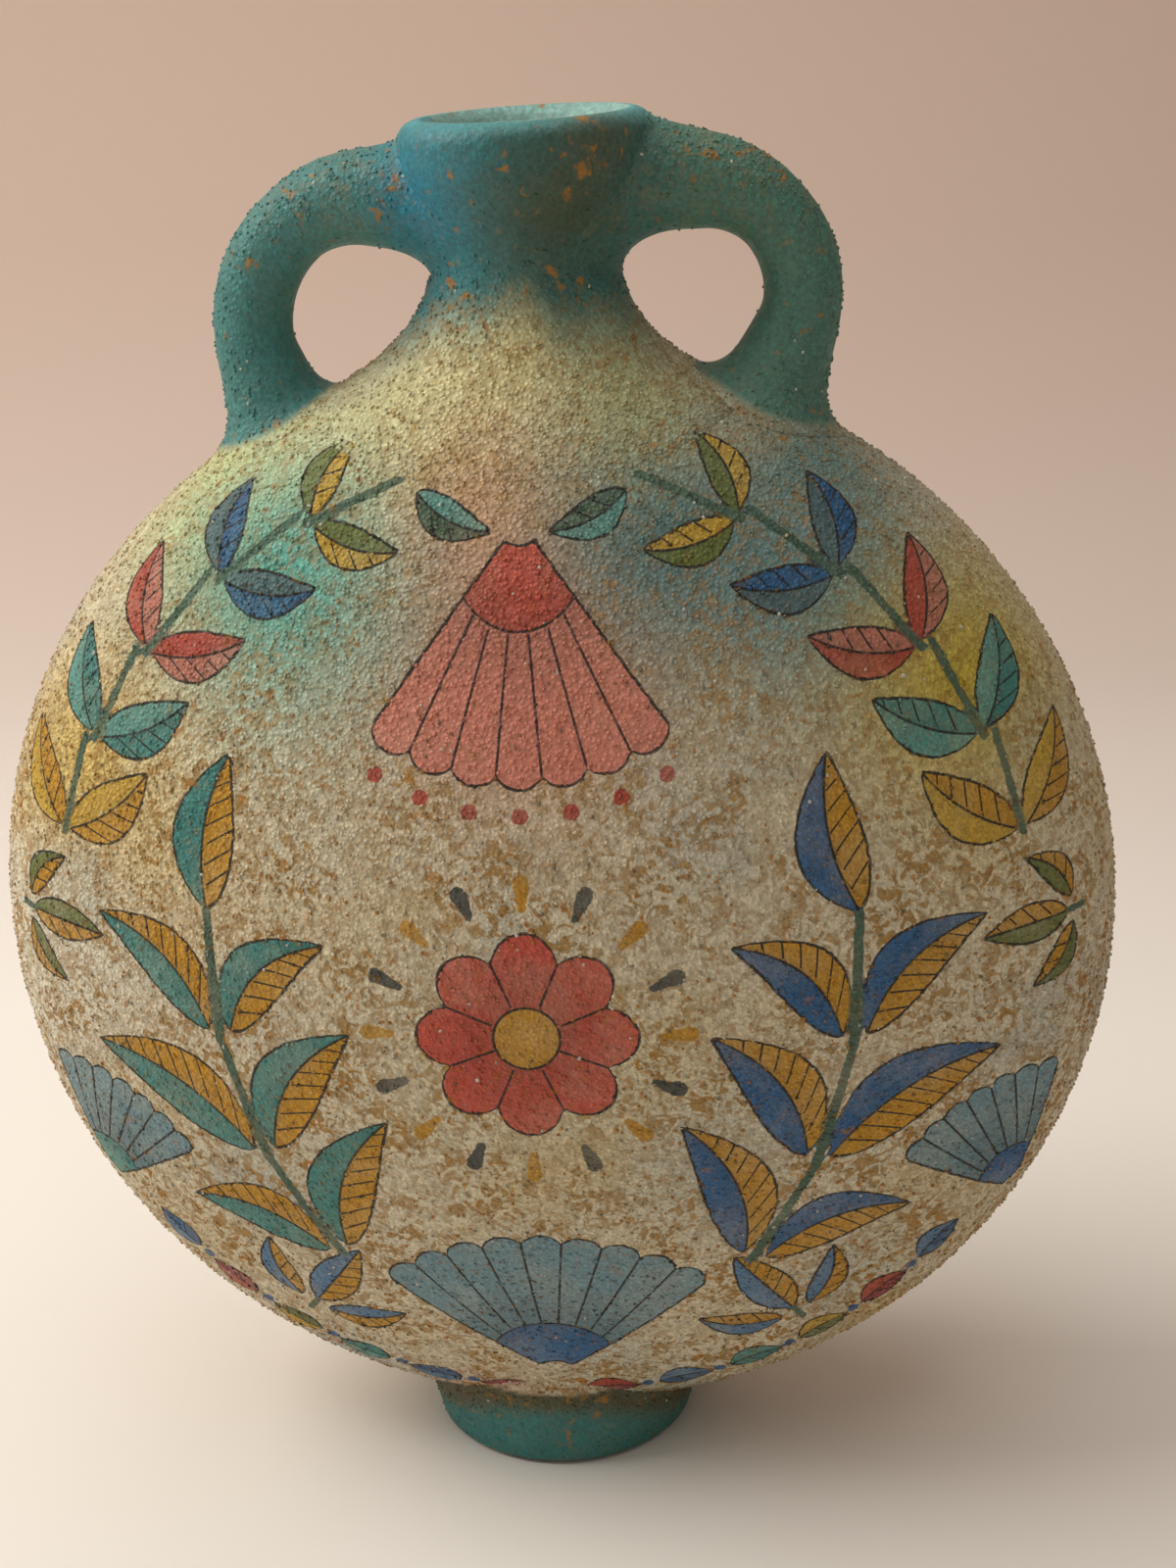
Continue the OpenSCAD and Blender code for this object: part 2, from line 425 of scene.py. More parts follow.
# Sprayed clouds on the body: right, up, radius on the flat face, colour and strength. The pale cream and
# yellow ones over the top and the upper left are also a painted highlight on the lit shoulder
BODY_CLOUDS = (
    (0, 136, 26, "#efe3a4", 0.9), (-64, 106, 30, "#dadc94", 0.9), (-28, 118, 26, "#e6dca0", 0.85),
    (-48, 86, 30, "#55b0a2", 0.95), (-17, 77, 16, "#8cc0aa", 0.55), (-8, 100, 18, "#e0aa7c", 0.7),
    (0, 70, 26, "#cc6650", 0.7), (29, 94, 29, "#4f7674", 0.95), (58, 84, 26, "#4f8a94", 0.85),
    (90, 64, 29, "#c8b030", 0.95), (-98, 44, 26, "#e2c15c", 0.85), (63, 111, 27, "#5f8580", 0.85),
    (22, 123, 17, "#a9b07a", 0.7), (-62, -48, 16, "#93a3a3", 0.4), (36, -36, 20, "#9ca9a4", 0.35),
    (2, -74, 22, "#98a5a1", 0.35), (4, -32, 12, "#cdb56e", 0.35), (70, -72, 18, "#9da8a2", 0.35),
    (-20, -124, 15, "#c4606c", 0.6), (24, -124, 15, "#6fb0a8", 0.6), (-52, -112, 14, "#6f97b4", 0.55),
    (78, -100, 14, "#d0ac40", 0.55), (-112, -2, 30, "#e6e0cc", 0.8),
)
SAND_GROUND = "#d9ccae"
BARE_CLAY = "#8a5a3c"


def mix(a, b, share):
    return a + (b - a) * np.asarray(share)[..., None]


def spot_share(square, r):
    """Share of a soft spot of radius r, from the square of the distance to its middle."""
    return np.exp(-1.2 * square / r ** 2)


def sprayed(p):
    """Colour of the sprayed ground at points on or near the body, with the painted highlight on the upper
    left shoulder.
    """
    u, v = face_place(p)
    colour = np.broadcast_to(linear(SAND_GROUND), p.shape)
    for right, up, r, code, strength in BODY_CLOUDS:
        share = spot_share((u - right) ** 2 + (v - up) ** 2, r)
        colour = mix(colour, linear(code), strength * share)
    return colour


def store(mesh, name, values):
    """Keeps a number or a colour for each point of the mesh."""
    if values.ndim == 1:
        mesh.attributes.new(name, "FLOAT", "POINT").data.foreach_set("value", values.astype(np.float32))
    else:
        filled = np.ones((len(values), 4), np.float32)
        filled[:, :3] = values
        mesh.attributes.new(name, "FLOAT_COLOR", "POINT").data.foreach_set("color", filled.ravel())


def dress(mesh, ground, grit, fleck, stain, forms=()):
    """Keeps what slip and sand need at each point: brushwork, ground, how sandy, flecked and stained."""
    u, v = face_place(points_of(mesh))
    fields = brushwork(u, v, forms)
    # Each grain of sand gets a number from 0 to 1, and what lies under the sand has none
    no_grain = np.full(len(u), -1.0)
    fields.update(ground=ground, grit=grit, fleck=fleck, stain=stain, grain=no_grain)
    for name, values in fields.items():
        store(mesh, name, values)


def bake_map(mesh, u, v):
    """The piece's own flat map, from a place for each point."""
    corner = np.empty(len(mesh.loops), np.int64)
    mesh.loops.foreach_get("vertex_index", corner)
    flat = np.stack([u[corner], v[corner]], -1).astype(np.float32)
    mesh.uv_layers.new(name="OFBake").data.foreach_set("uv", flat.ravel())


def disc_map(mesh):
    """A bowl's map: its outside fills a disc, and its inside a small disc in the corner."""
    p = points_of(mesh)
    u, v = face_place(p)
    inside = body_gap(p) < -wall / 4
    middle = np.where(inside, 0.06, 0.5)
    disc_r = np.where(inside, 0.055, 0.49)
    scale = disc_r / rim_len
    bake_map(mesh, middle + u * scale, middle + v * scale)


# Sanded slip: coloured clay slip laid over sand, dry and matt, so it is grainy and mottled to the eye,
# with rust-ochre flecks between the grains and brushwork that breaks up a little at its edges.
def add(tree, kind, into=(), out=0, **settings):
    """Adds a node with its settings; into holds its inputs, each a value or an output to link.

    Gives back one of its outputs, the first unless out says another."""
    node = tree.nodes.new(kind)
    for name, value in settings.items():
        setattr(node, name, value)
    for key, value in into.items() if isinstance(into, dict) else enumerate(into):
        if isinstance(value, bpy.types.NodeSocket):
            tree.links.new(value, node.inputs[key])
        else:
            node.inputs[key].default_value = value
    return node.outputs[out] if node.outputs else node


def rgba(code):
    return (*linear(code), 1)


FIELD, NOISE, MATH = "ShaderNodeAttribute", "ShaderNodeTexNoise", "ShaderNodeMath"
RANGE, MIX = "ShaderNodeMapRange", "ShaderNodeMix"


def slip_material(name, rough_low, rough_high, bump_mm):
    """Slip with the sprayed ground, the brushwork and the flecks that the piece's own fields call for."""
    material = bpy.data.materials.new(name)
    material.use_nodes = True
    material.node_tree.nodes.clear()
    put = partial(add, material.node_tree)
    soft = {"interpolation_type": "SMOOTHSTEP"}
    product = {"operation": "MULTIPLY"}
    colours = {"data_type": "RGBA", "out": 2}
    shading = {"data_type": "RGBA", "blend_type": "MULTIPLY", "out": 2}
    place = put("ShaderNodeTexCoord", out="Object")
    edge, split, rib, pitch, inked, grit, fleck, stain, grain = (
        put(FIELD, out="Fac", attribute_name=name)
        for name in ("edge", "split", "rib", "pitch", "inked", "grit", "fleck", "stain", "grain")
    )
    first, second, colour = (put(FIELD, attribute_name=name) for name in ("first", "second", "ground"))
    # Mottling by the width of its marks in millimetres, its detail and how far it is stirred
    fine, specks, swell, washes, blots, patches, clouds = (
        put(NOISE, {"Vector": place, "Scale": 1 / (width * MM), "Detail": detail, "Distortion": stir})
        for width, detail, stir in (
            (0.9, 3, 0), (2, 3, 0.8), (2.3, 2, 0), (2.7, 4, 1.3), (3.2, 5, 0.4), (13, 3, 0), (32, 2, 0)
        )
    )
    # The bed of fine sand under the slip: a low dome for each grain, just under a millimetre across
    bed = put("ShaderNodeTexVoronoi", {"Vector": place, "Scale": 1 / (0.95 * MM)})
    dome = put(MATH, (put(RANGE, (bed, 0.6, 0.1), **soft), grit), **product)

    # Ground: the sprayed colour, with faint grey-blue and yellow clouds where it is flecked
    for levels, code in (((0.52, 0.72, 0, 0.35), "#9ca7a6"), ((0.48, 0.3, 0, 0.3), "#d4b876")):
        haze = put(MATH, (put(RANGE, (clouds, *levels), **soft), fleck), **product)
        colour = put(MIX, {0: haze, 6: colour, 7: rgba(code)}, **colours)

    # Ochre washes that ran into the hollows, soft and a few millimetres long, and chalky slip between them
    patchy = put(RANGE, (patches, 0.36, 0.62, 0.35, 1), **soft)
    chalky = put(RANGE, (washes, 0.5, 0.34, 1, 1.16), **soft)
    colour = put(MIX, {0: 1.0, 6: colour, 7: chalky}, **shading)
    wash = put(RANGE, (washes, 0.48, 0.56, 0, 0.88), **soft)
    wash = put(MATH, (put(MATH, (wash, patchy), **product), fleck), **product)
    colour = put(MIX, {0: wash, 6: colour, 7: rgba("#a98038")}, **colours)

    # Brushwork: its edge wanders by less than a grain, it is darker at a form's heart and thin in places
    wander = put(RANGE, (specks, 0.3, 0.7, -0.16, 0.16), **soft)
    edge = put(MATH, (edge, wander), operation="ADD")
    painted = put(RANGE, (edge, 0.12, -0.12), **soft)
    on_first = put(RANGE, (split, -0.12, 0.12), **soft)
    tone = put(MIX, {0: on_first, 6: second, 7: first}, **colours)
    from_heart = put(MATH, (split,), operation="ABSOLUTE")
    deep = put(RANGE, (from_heart, 0.0, 16, 0.82, 1.16))
    tone = put(MIX, {0: 1.0, 6: tone, 7: deep}, **shading)
    cover = put(RANGE, (patches, 0.3, 0.62, 0.8, 0.98), **soft)
    worn = put(RANGE, (fine, 0.2, 0.42, 0.75, 1), **soft)
    cover = put(MATH, (put(MATH, (cover, worn), **product), painted), **product)
    colour = put(MIX, {0: cover, 6: colour, 7: tone}, **colours)

    # Ink: outline, parting line and ribs, about half a millimetre wide, paler where the brush ran dry
    from_rib = put(MATH, (rib, 0.5), operation="PINGPONG")
    from_rib = put(MATH, (from_rib, pitch), **product)
    inner = put(MATH, (from_rib, from_heart), operation="MINIMUM")
    inner = put(MATH, (put(RANGE, (inner, 0.34, 0.2), **soft), painted), **product)
    outline = put(MATH, (edge,), operation="ABSOLUTE")
    outline = put(RANGE, (outline, 0.38, 0.24), **soft)
    ink = put(MATH, (inner, outline), operation="MAXIMUM")
    ink = put(MATH, (ink, inked), **product)
    ink = put(MATH, (ink, put(RANGE, (specks, 0.3, 0.5, 0.6, 0.96), **soft)), **product)
    colour = put(MIX, {0: ink, 6: colour, 7: rgba("#26231d")}, **colours)

    # Mottling, painted shade in the hollows between the grains, and rust-ochre specks, fewer on the brushwork
    mottle = put(RANGE, (fine, 0.28, 0.72, 0.8, 1.14), **soft)
    hollow = put(RANGE, (dome, 0.0, 0.7, 0.84, 1.06), **soft)
    for shade in (mottle, hollow):
        colour = put(MIX, {0: 1.0, 6: colour, 7: shade}, **shading)
    bare = put(RANGE, (painted, 0, 1, 1, 0.45))
    speck = put(MATH, (put(RANGE, (specks, 0.6, 0.68, 0, 0.8), **soft), patchy), **product)
    speck = put(MATH, (put(MATH, (speck, fleck), **product), bare), **product)

    # Rust-ochre blots of 1 to 3 mm, few at large and closer together where the slip is stained
    blot = put(MATH, (stain, 0.13, blots), operation="MULTIPLY_ADD")
    blot = put(MATH, (put(RANGE, (blot, 0.63, 0.75, 0, 0.85), **soft), bare), **product)

    # Single grains: some stained rust, some darker and some paler than the slip about them; the darker ones
    # are also painted shade of the grains, and the paler ones also painted glints
    on_grain = put(RANGE, (grain, -0.5, -0.1))
    rusty = put(MATH, (put(RANGE, (grain, 0.16, 0.1), **soft), on_grain), **product)
    rusty = put(MATH, (put(MATH, (rusty, fleck), **product), bare), **product)
    flecked = put(RANGE, (fleck, 0.3, 0.6), **soft)
    dark_and_shaded_grain = put(MATH, (put(RANGE, (grain, 0.91, 0.93, 0, 0.6)), flecked), **product)
    pale_and_glinting_grain = put(RANGE, (grain, 0.975, 0.98, 0, 0.6))
    # Each of these marks lies over those before it
    marks = {"#b4791c": speck, "#a5701f": blot, "#aa7426": rusty, "#4a4a3c": dark_and_shaded_grain, "#efe9da": pale_and_glinting_grain}
    for code, share in marks.items():
        colour = put(MIX, {0: share, 6: colour, 7: rgba(code)}, **colours)

    # The slip lies smoother over a grain, so it catches a little more light there
    rough = put(RANGE, (specks, 0.3, 0.7, rough_low, rough_high), **soft)
    rough = put(MATH, (rough, put(RANGE, (on_grain, 0, 1, 1, 0.58))), **product)
    height = put(MATH, (fine, 0.45, swell), operation="MULTIPLY_ADD")
    height = put(MATH, (dome, 0.5, height), operation="MULTIPLY_ADD")
    normal = put("ShaderNodeBump", {"Strength": 0.75, "Distance": bump_mm * MM, "Height": height})
    surface = {"Base Color": colour, "Roughness": rough, "Normal": normal, "IOR": 1.5}
    shader = put("ShaderNodeBsdfPrincipled", surface)
    put("ShaderNodeOutputMaterial", {"Surface": shader})
    return material


sanded_slip = slip_material("sanded_painted_slip", 0.55, 0.8, 0.75)


def bowl_piece(name, node, side, forms):
    """A bowl with its slip and its design."""
    mesh = bowl_mesh(name, side)
    p = points_of(mesh)
    slip_thick = 1
    inside = body_gap(p) < -slip_thick
    ground = np.where(inside[:, None], linear(BARE_CLAY), sprayed(p))
    coated = np.where(inside, 0.0, 1.0)
    # The shoulders' sprayed colours lie over the washes, so fewer flecks show there
    flecked = coated * (1 - 0.5 * fade(20, 85, p[:, 2] - belly_z))
    dress(mesh, ground, coated, flecked, 0 * coated, forms)
    disc_map(mesh)
    mesh.materials.clear()
    mesh.materials.append(sanded_slip)
    return stand_in(name, mesh, node)


front_bowl = bowl_piece("front_bowl", "body_front", 1, front_design)
back_bowl = bowl_piece("back_bowl", "body_back", -1, back_design)

# The neck: a thrown trumpet neck luted over the hole, its foot smoothed down over the shoulders by hand.
# Above the shoulder it is painted turquoise, smooth at the lip and sanded towards its foot,
# where the colour is sprayed out into the cream of the body.
rim_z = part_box("neck")[1][2] / MM
neck_h = 30.5
waist_z = rim_z - neck_h
neck_r = 18
lip_r = 25.6
flare_h = 23
# The bare lip lies this far below the solid's rim
lip_room = 0.1
lip_round = 4
mouth_r = 20
mouth_flare_r = 30
# The waist stands a little left of the rim's middle
waist_x = -0.6
# How far the hand-smoothed foot reaches: wide on the shoulders, most at the left, and narrow on the two faces
sweep_left, sweep_right, sweep_face = 30, 26, 14
# The lip isn't level: by this much it is lower at the left, in this direction
lip_dip, dip_turn = 1.3, 190
NECK_SEGMENTS = 288
UP = np.array([0, 0, 1.0])


def arc_lean(r, rise):
    """How far a hollow arc that starts upright leans out after a rise."""
    return r - np.sqrt(np.maximum(r ** 2 - rise ** 2, 0))


def smooth_join(a, b, reach):
    """Distance to two forms joined by a hollow fillet that reaches that far over each."""
    lap = np.maximum(reach - np.abs(a - b), 0) / reach
    return np.minimum(a, b) - lap * lap * reach / 4


def neck_gap(p):
    """Distance from points to the trumpet neck with its rounded lip, about right near it."""
    rise = np.clip(p[..., 2] - waist_z, 0, rim_z - waist_z)
    r = neck_r + (lip_r - neck_r) * fade(0, flare_h, rise) - grit_room
    axis_x = waist_x * (1 - rise / (rim_z - waist_z))
    beside = (np.hypot(p[..., 0] - axis_x, p[..., 1]) - r) * 0.95 + lip_round
    above = p[..., 2] - rim_z + lip_room + lip_round
    outside = np.hypot(np.maximum(beside, 0), np.maximum(above, 0))
    return np.minimum(np.maximum(beside, above), 0) + outside - lip_round


def sweep_at(sideways):
    """Reach of the neck's foot, from the share of the way that points to the right."""
    side = sweep_left + (sweep_right - sweep_left) * (1 + sideways) / 2
    return sweep_face + (side - sweep_face) * sideways ** 2


def vessel_gap(p):
    """Distance from points to the body with the neck smoothed on to it."""
    sideways = p[..., 0] / np.maximum(np.hypot(p[..., 0], p[..., 1]), TINY)
    return smooth_join(body_gap(p), neck_gap(p), sweep_at(sideways))


def lip_sag(p):
    """How far points on and about the lip are lowered."""
    toward_low = (1 + np.cos(np.arctan2(p[..., 1], p[..., 0]) - math.radians(dip_turn))) / 2
    near = fade(waist_z, rim_z, p[..., 2]) * fade(2 * lip_r, lip_r, np.hypot(p[..., 0], p[..., 1]))
    return lip_dip * toward_low * near


def cast(gap, start, way, far):
    """Where rays from inside a form first leave it: points start + way * distance."""
    start, way = np.broadcast_arrays(start, way)
    walk = np.linspace(0, far, 240)
    shape = (len(walk),) + (1,) * start[..., 0].ndim + (1,)
    out = gap(start + way * walk.reshape(shape)) > 0
    first = np.maximum(np.argmax(out, axis=0), 1)
    first = np.where(out.any(axis=0), first, len(walk) - 1)
    low, high = walk[first - 1], walk[first]
    for _ in range(24):
        middle = (low + high) / 2
        outside = gap(start + way * middle[..., None]) > 0
        low, high = np.where(outside, low, middle), np.where(outside, middle, high)
    return start + way * high[..., None]


def ring_piece(name, rings, closed=False):
    """A mesh from rings of points, capped at both ends or closed into a hoop, with its own map."""
    n, m = rings.shape[:2]
    rows = n if closed else n - 1
    i, j = (g.ravel() for g in np.meshgrid(np.arange(rows), np.arange(m), indexing="ij"))
    corners = [(i, j), (i, j + 1), (i + 1, j + 1), (i + 1, j)]
    faces = np.stack([(a % n) * m + b % m for a, b in corners], -1).tolist()
    flat = [np.stack([b / m, a / n], -1) for a, b in corners]
    if not closed:
        faces += [list(range(m)), list(range((n - 1) * m, n * m))]
    mesh = raw_mesh(name, rings.reshape(-1, 3), faces)
    places = np.concatenate([np.stack(flat, 1).reshape(-1, 2), np.zeros((0 if closed else 2 * m, 2))])
    mesh.uv_layers.new(name="OFBake").data.foreach_set("uv", places.astype(np.float32).ravel())
    return turn_outwards(mesh)


angle = np.linspace(0, 2 * math.pi, NECK_SEGMENTS, endpoint=False)
level = np.stack([np.cos(angle), np.sin(angle), np.zeros_like(angle)], -1)


def ring(r, z):
    """A level ring of the neck's or foot's points, with one size and height or one for each point."""
    return level * np.asarray(r)[..., None] + UP * np.asarray(z)[..., None]


# The foot's edge, found upwards from inside the body under the sweep's end, and tucked into the body
edge_tuck = 1.5
edge_ring = cast(body_gap, ring(neck_r + sweep_at(np.cos(angle)), belly_z), UP, body_r)
neck_rings = [edge_ring * 0.995 - edge_tuck * UP, edge_ring]
# From there to the waist the surface is found along rays from a point on the neck's axis, then level by level
hub = (waist_z - 7) * UP
edge_drop = np.arctan2(hub[2] - edge_ring[:, 2], np.hypot(edge_ring[:, 0], edge_ring[:, 1]))
for share in np.linspace(0.985, 0, 48):
    dip = edge_drop * share
    way = ring(np.cos(dip), -np.sin(dip))
    neck_rings.append(cast(vessel_gap, hub, way, 70))
for z in np.linspace(hub[2] + 0.8, rim_z - lip_round - lip_room, 34):
    neck_rings.append(cast(vessel_gap, z * UP, level, 40))
for turn in np.linspace(0, math.pi / 2, 9)[1:]:
    r = lip_r - grit_room - lip_round * (1 - math.cos(turn))
    neck_rings.append(ring(r, rim_z - lip_room - lip_round * (1 - math.sin(turn))))
mouth_rise = math.sqrt(mouth_flare_r ** 2 - (mouth_flare_r - mouth_r + throat_r) ** 2)
for z in np.linspace(mouth_rise, 0, 12):
    neck_rings.append(ring(throat_r + arc_lean(mouth_flare_r, z), rim_z - lip_room - mouth_rise + z))
for z in np.linspace(rim_z - mouth_rise, belly_z + body_r - 7, 10)[1:]:
    neck_rings.append(ring(throat_r, z))
neck_rings = np.array(neck_rings)
neck_rings[..., 2] -= lip_sag(neck_rings)
neck_mesh = ring_piece("neck_and_lip", neck_rings, closed=True)

TURQUOISE = {"left": "#28858e", "right": "#42796d", "lip": "#5fbcc0", "handle": "#5c8670"}
# Sprayed tints on the neck: centre, radius, colour and strength. The two dark olive ones on its front are
# olive-brown colour and also painted shade on the front of the neck
NECK_TINTS_AND_SHADE = (
    ((9, -22, 273), 19, "#3f4f34", 0.9), ((16, -18, 287), 9, "#5a5a3c", 0.6),
    ((-19, -14, 276), 13, "#1f86a8", 0.65),
)
# Spots about which the turquoise is stained with ochre: centre, radius and strength
OCHRE_SPOTS = (
    ((13, -21, 286), 8, 1.0), ((-3, -24, 286), 4, 0.7), ((6, -18, 262), 7, 0.8), ((14, -14, 259), 6, 0.8),
    ((-11, -16, 256), 8, 0.9), ((0, 22, 285), 10, 0.8), ((46, -3, 284), 10, 0.8), ((58, -6, 272), 7, 0.6),
    ((-42, -7, 276), 6, 0.6), ((-52, -6, 268), 6, 0.5), ((34, -8, 282), 6, 0.6), ((-28, -8, 274), 5, 0.5),
)


def spot_near(p, centre, r):
    """Share of a soft spot on the neck or a handle at points."""
    return spot_share(((p - np.array(centre)) ** 2).sum(-1), r)


def ochre_spots(p):
    """How strongly points are stained with ochre by the spots near them."""
    return np.max([strength * spot_near(p, centre, r) for centre, r, strength in OCHRE_SPOTS], axis=0)


def turquoise(p):
    """Colour of the turquoise slip: bluer at the left, greener at the right, paler round the top of the lip,
    which is also a painted highlight, and with the neck's tints and painted shade.
    """
    colour = mix(linear(TURQUOISE["left"]), linear(TURQUOISE["right"]), fade(-40, 40, p[..., 0]))
    # Painted highlight: the top of the lip is made paler
    colour = mix(colour, linear(TURQUOISE["lip"]), 0.75 * fade(rim_z - 3.5, rim_z - 0.5, p[..., 2]))
    for centre, r, code, strength in NECK_TINTS_AND_SHADE:
        colour = mix(colour, linear(code), strength * spot_near(p, centre, r))
    return colour


p = points_of(neck_mesh)
around = np.hypot(p[:, 0], p[:, 1])
mouth_side = throat_r + arc_lean(mouth_flare_r, np.clip(p[:, 2] - rim_z + mouth_rise, 0, mouth_rise))
in_throat = around < mouth_side + 1
heading = np.arctan2(p[:, 1], p[:, 0])
# The turquoise is sprayed out at a wavy level below the waist; lip and flare have hardly any sand
spray_z = waist_z - 8.5 + 2.5 * np.sin(3 * heading + 0.6) + 1.5 * np.sin(7 * heading)
neck_ground = mix(sprayed(p), turquoise(p), fade(spray_z - 10, spray_z + 8, p[:, 2]))
# Inside the mouth the slip is painted pale turquoise, as painted light on the mouth's inner wall
neck_ground = mix(neck_ground, linear("#a6cdc2"), np.where(in_throat, 0.7, 0))
bare = np.where(in_throat, fade(rim_z - 12, rim_z - 28, p[:, 2]), 0)
neck_ground = mix(neck_ground, linear(BARE_CLAY), bare)
neck_grit = 0.04 * fade(rim_z - 6, rim_z - 9, p[:, 2]) + 0.96 * fade(waist_z + 12, waist_z - 10, p[:, 2])
neck_grit = np.where(in_throat, 0, neck_grit)
neck_fleck = 0.06 + 0.44 * fade(waist_z + 2, waist_z - 10, p[:, 2])
dress(neck_mesh, neck_ground, neck_grit, neck_fleck, ochre_spots(p))
# Turquoise slip: clay slip brushed on thickly, so it is smoother than the body's and has a faint sheen
turquoise_slip = slip_material("turquoise_slip", 0.46, 0.7, 0.55)
neck_mesh.materials.append(turquoise_slip)
neck_mesh.materials.append(sanded_slip)
# Below this level the neck is coated like the body
coat_z = waist_z - 10
for face in neck_mesh.polygons:
    face.material_index = 1 if face.center.z < coat_z * MM else 0
neck = stand_in("neck_and_lip", neck_mesh, "neck")

# The handles: rods of clay rolled by hand, bent once and pressed on to the neck and the shoulder, in the
# neck's turquoise slip. Towards both ends the rod thickens, and its clay was smeared out into a hollow
# fillet. Made by eye, the two aren't alike.
HANDLE_SEGMENTS = 80
# The rod's arm ends this far from the neck's axis, and its leg this far inside the body
arm_bury, leg_bury = 14, 4
# The thickening begins this far before the bend's ends
arm_lead, leg_lead = 16, 6
# The smeared clay's edge is sunk this far
end_sink = 0.8
# How far the clay is smeared out: at the lip, in the hollow below it, and on the shoulder
smear_lip, smear_neck, smear_shoulder = 1.5, 11, 7
# Levels of the shoulder, of the hollow's two ends and of the lip, for that
shoulder_z, hollow_low_z, hollow_high_z, lip_z = 246, 258, 266, 282
# Share by which it is less in front and behind
smear_less = 0.25


def smear_at(p):
    """How far the clay is smeared out near points."""
    reach = smear_shoulder + (smear_neck - smear_shoulder) * fade(shoulder_z, hollow_low_z, p[..., 2])
    reach = reach + (smear_lip - smear_neck) * fade(hollow_high_z, lip_z, p[..., 2])
    return reach * (1 - smear_less * fade(3, 12, np.abs(p[..., 1])))


def handle_mesh(name, side, bend_at, bend_r, arm_turn, leg_turn, rod_r, arm_end_r, leg_end_r, inner_share):
    """A handle on the right (side 1) or left (-1): a straight leg, a bend about bend_at and a straight arm.

    Gives back its mesh and how far each point is on the loop's outer side. A larger inner_share thickens the
    loop's inner side more. Places along the rod are lengths s of its centre line, from 0 where the leg meets
    the bend."""
    centre = np.array([bend_at[0], 0, bend_at[1]])
    arc_len = bend_r * math.radians(arm_turn - leg_turn)
    around = np.linspace(0, 2 * math.pi, HANDLE_SEGMENTS, endpoint=False)

    def bend_angle(s):
        return math.radians(leg_turn) + np.clip(s, 0, arc_len) / bend_r

    def spoke(s):
        return np.stack([np.cos(bend_angle(s)), np.zeros_like(s), np.sin(bend_angle(s))], -1)

    def along(s):
        return np.stack([-np.sin(bend_angle(s)), np.zeros_like(s), np.cos(bend_angle(s))], -1)

    def line(s):
        return centre + bend_r * spoke(s) + (s - np.clip(s, 0, arc_len))[..., None] * along(s)

    leg_top, arm_start = line(np.array(0.0)), line(np.array(arc_len))
    down, inward = -along(np.array(0.0)), along(np.array(arc_len))
    landing = cast(lambda q: -body_gap(q), leg_top, down, 60)
    leg_len = np.linalg.norm(landing - leg_top) + leg_bury
    arm_len = (arm_start[0] - arm_bury) / -inward[0]

    def growth(s):
        arm = np.clip((s - arc_len + arm_lead) / (arm_len + arm_lead), 0, 1) ** 1.3
        leg = np.clip((leg_lead - s) / (leg_len + leg_lead), 0, 1) ** 1.5
        return (arm_end_r - rod_r) * arm + (leg_end_r - rod_r) * leg

    def rod_size(s):
        return rod_r + growth(s) / (1 + inner_share)

    def spot(s):
        return line(s) - spoke(s) * (growth(s) * inner_share / (1 + inner_share))[..., None]

    def rod_gap(p):
        bend = np.arctan2(p[..., 2] - centre[2], p[..., 0] - centre[0]) - math.radians(leg_turn)
        on_arm = np.clip(((p - arm_start) * inward).sum(-1), 0, arm_len)
        on_leg = np.clip(((p - leg_top) * down).sum(-1), 0, leg_len)
        places = (np.clip(bend * bend_r, 0, arc_len), arc_len + on_arm, -on_leg)
        return np.min([np.linalg.norm(p - spot(s), axis=-1) - rod_size(s) for s in places], axis=0)

    def joined_gap(p):
        return smooth_join(vessel_gap(p), rod_gap(p), smear_at(p))

    def outward(s):
        """Directions away from the rod's centre line, once round it."""
        return np.cos(around)[:, None] * spoke(s) + np.sin(around)[:, None] * np.array([0, 1.0, 0])

    def skin(s):
        return spot(s) + outward(s) * rod_size(s)[:, None]

    def smear_start(end):
        """Where, along each line of the rod's surface, the smeared clay begins."""
        low, high = np.full(HANDLE_SEGMENTS, arc_len / 2), np.full(HANDLE_SEGMENTS, float(end))
        for _ in range(26):
            s = (low + high) / 2
            free = vessel_gap(skin(s)) > smear_at(skin(s))
            low, high = np.where(free, s, low), np.where(free, high, s)
        return low

    def smear_rings(start, way_on):
        """Rings over the hollow fillet, found from its open side; the last one is sunk in what carries it."""
        away = outward(start)
        onward = way_on * along(start)
        onward[..., 2] = np.minimum(onward[..., 2], 0)
        reach = smear_at(skin(start))
        for _ in range(3):
            open_side = skin(start) + away * reach[:, None]
            reach = smear_at(cast(lambda q: -vessel_gap(q), open_side, onward, 40))
        open_side = skin(start) + away * reach[:, None]
        found = []
        for sweep in np.radians(np.linspace(0, 90, 16)[1:]):
            way = math.sin(sweep) * onward - math.cos(sweep) * away
            found.append(cast(lambda q: -joined_gap(q), open_side, way, 40))
        return found + [found[-1] + end_sink * onward]

    arm_smear, leg_smear = smear_start(arc_len + arm_len), smear_start(-leg_len)
    rings = [skin(leg_smear + (arm_smear - leg_smear) * share) for share in np.linspace(0, 1, 46)]
    rings = np.array(smear_rings(leg_smear, -1)[::-1] + rings + smear_rings(arm_smear, 1))
    # Each end closes, but for a small hole that is capped, inside what carries the handle
    leg_end, arm_end = (0.02 * end + 0.98 * end.mean(axis=0) for end in (rings[0], rings[-1]))
    rings = np.concatenate([[leg_end], rings, [arm_end]])
    rings[..., 0] *= side
    rings[..., 2] -= lip_sag(rings)
    outer_side = np.broadcast_to(fade(-0.7, 0.5, np.cos(around)), rings.shape[:2]).ravel()
    return ring_piece(name, rings), outer_side


